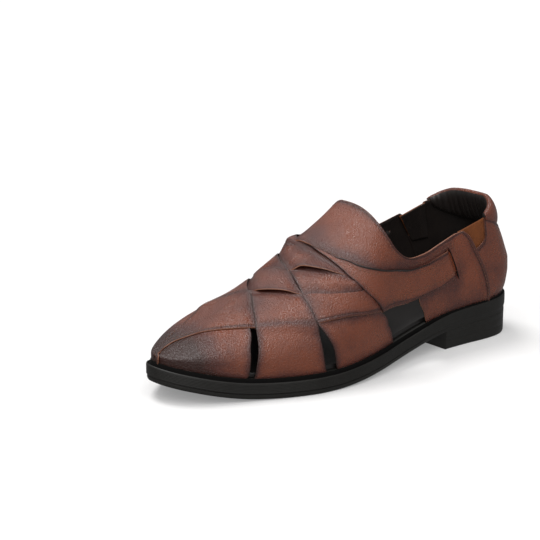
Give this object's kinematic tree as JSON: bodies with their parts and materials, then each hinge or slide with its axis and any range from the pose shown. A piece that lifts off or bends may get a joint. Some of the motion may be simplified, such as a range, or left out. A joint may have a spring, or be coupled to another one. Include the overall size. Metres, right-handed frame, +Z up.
{
  "type": "peshawari chappal",
  "caption": "Left-foot leather slip-on with a woven vamp, side openings, elastic gores, a padded heel roll and a low-heeled rubber sole.",
  "frame": {"origin": "on the floor, under the middle of the heel, on the underside of the heel's top lift", "axes": "+Z up; -Y towards the toe, +Y towards the back of the heel; +X towards the outer (lateral) side of the left foot"},
  "size_m": [0.1047, 0.2982, 0.1091],
  "materials": {
    "upper_leather": "burnished, fine pebble grain, soft sheen",
    "sole_rubber": "moulded satin black",
    "lining": "dark brown-black, slightly glossy",
    "elastic": "ribbed tan elastic webbing"
  },
  "bodies": {
    "root": {"outsole": "sole_rubber", "heel_block": "sole_rubber", "heel_top_lift": "sole_rubber", "insole": "lining", "upper": "upper_leather", "gore_lateral": "elastic", "gore_medial": "elastic", "heel_collar": "upper_leather"}
  },
  "joints": []
}
